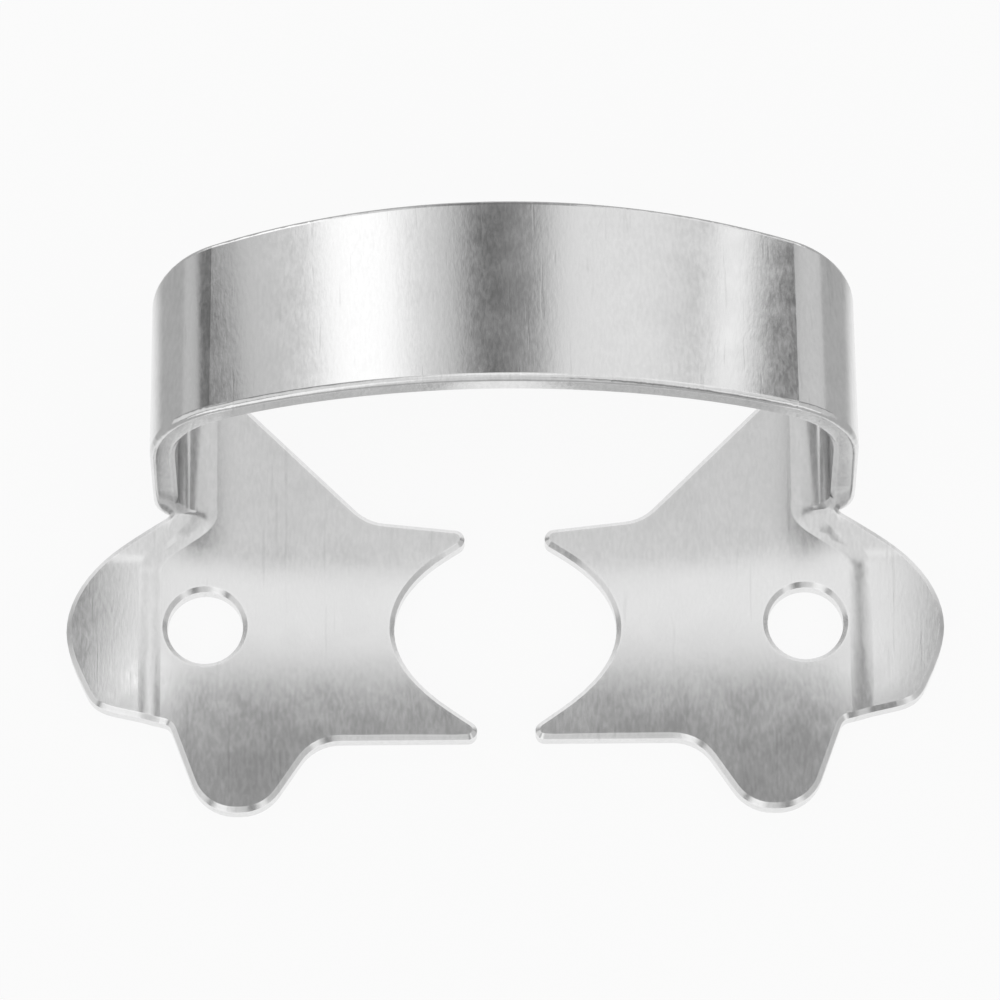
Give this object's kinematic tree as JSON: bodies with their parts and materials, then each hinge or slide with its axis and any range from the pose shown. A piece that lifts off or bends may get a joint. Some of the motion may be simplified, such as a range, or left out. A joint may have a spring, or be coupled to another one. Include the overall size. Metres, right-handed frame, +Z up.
{
  "type": "rubber dam clamp",
  "caption": "Winged dental clamp of bent spring steel: a bow joins two jaws whose prongs grip a tooth, with forceps holes and wings that hold a rubber sheet back.",
  "frame": {"origin": "middle of the footprint, on the plane of the jaws' undersides", "axes": "+X from jaw to jaw, +Y towards the bow and the back of the mouth, +Z up from the jaws to the top of the bow"},
  "size_m": [0.0284, 0.0178, 0.0099],
  "materials": {
    "steel": "satin stainless spring steel with a fine grain"
  },
  "bodies": {
    "root": {"clamp": "steel"}
  },
  "joints": []
}
